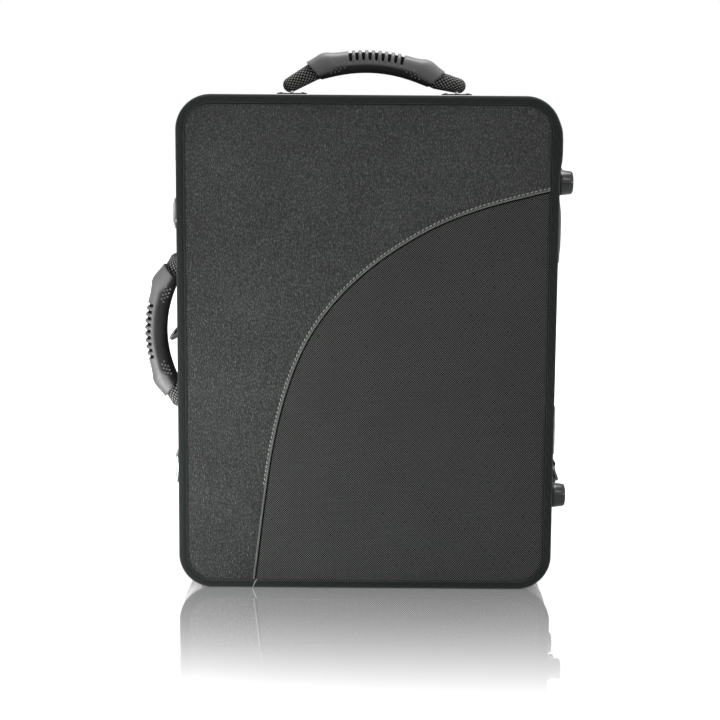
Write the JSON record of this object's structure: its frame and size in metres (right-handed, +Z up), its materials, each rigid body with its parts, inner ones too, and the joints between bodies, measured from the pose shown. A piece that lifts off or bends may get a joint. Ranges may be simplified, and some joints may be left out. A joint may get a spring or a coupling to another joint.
{
  "type": "clarinet case",
  "caption": "Upright hard case for two clarinets: side-hinged lid, draw latches, rubber carrying handles on top and side, feet, strap rings and a fitted plush tray.",
  "frame": {"origin": "middle of the underside, at half the depth, on the short side that the case stands on", "axes": "+X to the right as the front is seen, towards the hinges and feet; +Y to the back; +Z up, towards the top handle"},
  "size_m": [0.3494, 0.118, 0.4363],
  "materials": {
    "leatherette": "pebble grain, satin",
    "body_fabric": "woven, matt, glued over plywood",
    "panel_fabric": "fine diagonal twill, matt",
    "binding_tape": "ribbed tape, stitched, matt",
    "rim_metal": "satin",
    "plush": "short pile over foam",
    "grip_rubber": "moulded, satin, ribbed on the outside",
    "webbing": "round braided webbing",
    "hardware_metal": "polished plating",
    "foot_plastic": "smooth, slight gloss"
  },
  "bodies": {
    "case_body": {"back_shell": "body_fabric", "back_panel": "leatherette", "back_binding": "binding_tape", "body_rim": "rim_metal", "tray_base": "plush", "tray_rail_left": "plush", "tray_rail_right": "plush", "tray_rail_bottom": "plush", "tray_rail_top": "plush", "tray_cross_wall": "plush", "tray_divider_left_outer": "plush", "tray_divider_left_inner": "plush", "tray_divider_right_inner": "plush", "tray_divider_right_outer": "plush", "bell_wall_left": "plush", "bell_wall_right": "plush", "bell_saddle_left": "plush", "bell_saddle_right": "plush", "column_bridge_upper": "plush", "column_bridge_lower": "plush", "hinge_body_leaf_lower": "hardware_metal", "hinge_body_leaf_upper": "hardware_metal", "latch_plate_lower": "hardware_metal", "latch_plate_upper": "hardware_metal", "top_anchor_left": "hardware_metal", "top_anchor_right": "hardware_metal", "side_anchor_lower": "hardware_metal", "side_anchor_upper": "hardware_metal", "ring_tab_left": "webbing", "ring_tab_right": "webbing", "foot_body_lower": "foot_plastic", "foot_body_upper": "foot_plastic"},
    "lid": {"lid_shell": "body_fabric", "front_leather_panel": "leatherette", "front_fabric_panel": "panel_fabric", "front_binding": "binding_tape", "lid_rim": "rim_metal", "lid_lining": "plush", "hinge_lid_leaf_lower": "hardware_metal", "hinge_lid_leaf_upper": "hardware_metal", "latch_strike_lower": "hardware_metal", "latch_strike_upper": "hardware_metal", "foot_lid_lower": "foot_plastic", "foot_lid_upper": "foot_plastic"},
    "lower_lever": {"latch_lever_lower": "hardware_metal"},
    "upper_lever": {"latch_lever_upper": "hardware_metal"},
    "lower_bail": {"latch_bail_lower": "hardware_metal"},
    "upper_bail": {"latch_bail_upper": "hardware_metal"},
    "top_handle": {"top_grip": "grip_rubber", "top_strap": "webbing", "top_handle_pin_left": "hardware_metal", "top_handle_pin_right": "hardware_metal"},
    "side_handle": {"side_grip": "grip_rubber", "side_strap": "webbing", "side_handle_pin_lower": "hardware_metal", "side_handle_pin_upper": "hardware_metal"},
    "left_ring": {"shoulder_ring_left": "hardware_metal"},
    "right_ring": {"shoulder_ring_right": "hardware_metal"}
  },
  "joints": [
    {"name": "lid_hinge", "type": "hinge", "parent": "case_body", "child": "lid", "pos_m": [0.1551, -0.014, 0.2], "axis": [0, 0, 1], "range_deg": [0, 100]},
    {"name": "lower_lever_pivot", "type": "hinge", "parent": "case_body", "child": "lower_lever", "pos_m": [-0.1562, -0.008, 0.0922], "axis": [0, 0, 1], "range_deg": [0, 105]},
    {"name": "upper_lever_pivot", "type": "hinge", "parent": "case_body", "child": "upper_lever", "pos_m": [-0.1562, -0.008, 0.304], "axis": [0, 0, 1], "range_deg": [0, 105]},
    {"name": "lower_bail_pivot", "type": "hinge", "parent": "lower_lever", "child": "lower_bail", "pos_m": [-0.1562, 0, 0.0922], "axis": [0, 0, -1], "range_deg": [0, 105]},
    {"name": "upper_bail_pivot", "type": "hinge", "parent": "upper_lever", "child": "upper_bail", "pos_m": [-0.1562, 0, 0.304], "axis": [0, 0, -1], "range_deg": [0, 105]},
    {"name": "top_handle_swing", "type": "hinge", "parent": "case_body", "child": "top_handle", "pos_m": [0.005, 0.004, 0.4072], "axis": [1, 0, 0], "range_deg": [-40, 40]},
    {"name": "side_handle_swing", "type": "hinge", "parent": "case_body", "child": "side_handle", "pos_m": [-0.1592, 0.004, 0.2045], "axis": [0, 0, 1], "range_deg": [-40, 40]},
    {"name": "left_ring_swing", "type": "hinge", "parent": "case_body", "child": "left_ring", "pos_m": [-0.1568, 0.043, 0.203], "axis": [0, 1, 0], "range_deg": [-50, 120]},
    {"name": "right_ring_swing", "type": "hinge", "parent": "case_body", "child": "right_ring", "pos_m": [0.1568, 0.008, 0.0925], "axis": [0, 1, 0], "range_deg": [-153, 17]}
  ],
  "couplings": [
    {"joint": "lower_bail_pivot", "follows": "lower_lever_pivot", "ratio": 1},
    {"joint": "upper_bail_pivot", "follows": "upper_lever_pivot", "ratio": 1}
  ]
}
